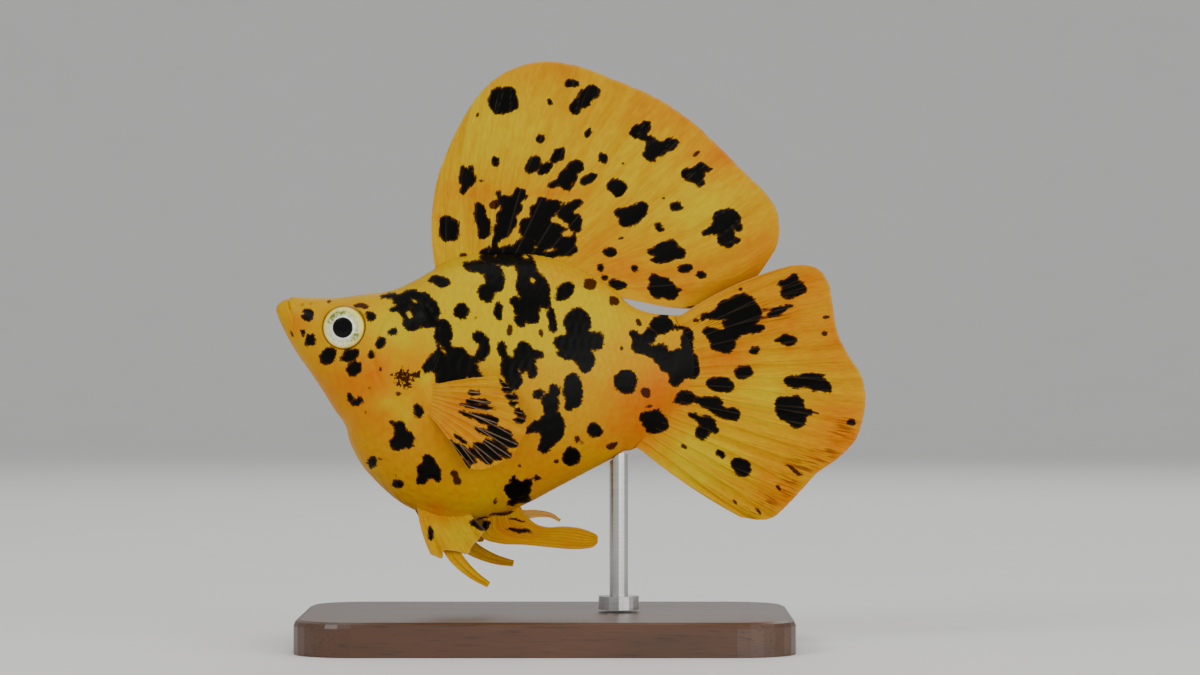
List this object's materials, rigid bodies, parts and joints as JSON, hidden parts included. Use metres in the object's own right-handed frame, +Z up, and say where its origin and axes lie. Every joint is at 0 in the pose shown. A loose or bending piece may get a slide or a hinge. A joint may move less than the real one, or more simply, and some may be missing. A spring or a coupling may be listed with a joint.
{
  "type": "balloon molly model",
  "caption": "Life-size still model of a balloon molly with a tall sail-like dorsal fin and a round belly, held over a flat base by a thin rod.",
  "frame": {"origin": "centre of the whole model's box, on the underside of the stand's base", "axes": "+Z up, -X towards the fish's snout, -Y towards the fish's left side"},
  "size_m": [0.07, 0.04, 0.0692],
  "materials": {
    "skin": "wet-looking scaled fish skin, yellow-orange with black blotches",
    "fin": "thin rayed fin membrane, yellow-orange with black blotches",
    "eye": "glossy clear dome over a pale silvery iris and a black pupil",
    "stand_wood": "dark stained wood, satin varnish",
    "stand_steel": "fine brushed steel rod"
  },
  "bodies": {
    "root": {"head": "skin", "gill_cover_left": "skin", "gill_cover_right": "skin", "torso": "skin", "tail_stalk": "skin", "dorsal_fin": "fin", "caudal_fin": "fin", "anal_fin": "fin", "pectoral_fin_left": "fin", "pectoral_fin_right": "fin", "pelvic_fin_left": "fin", "pelvic_fin_right": "fin", "eye_left": "eye", "eye_right": "eye", "stand_base": "stand_wood", "stand_rod": "stand_steel"}
  },
  "joints": []
}
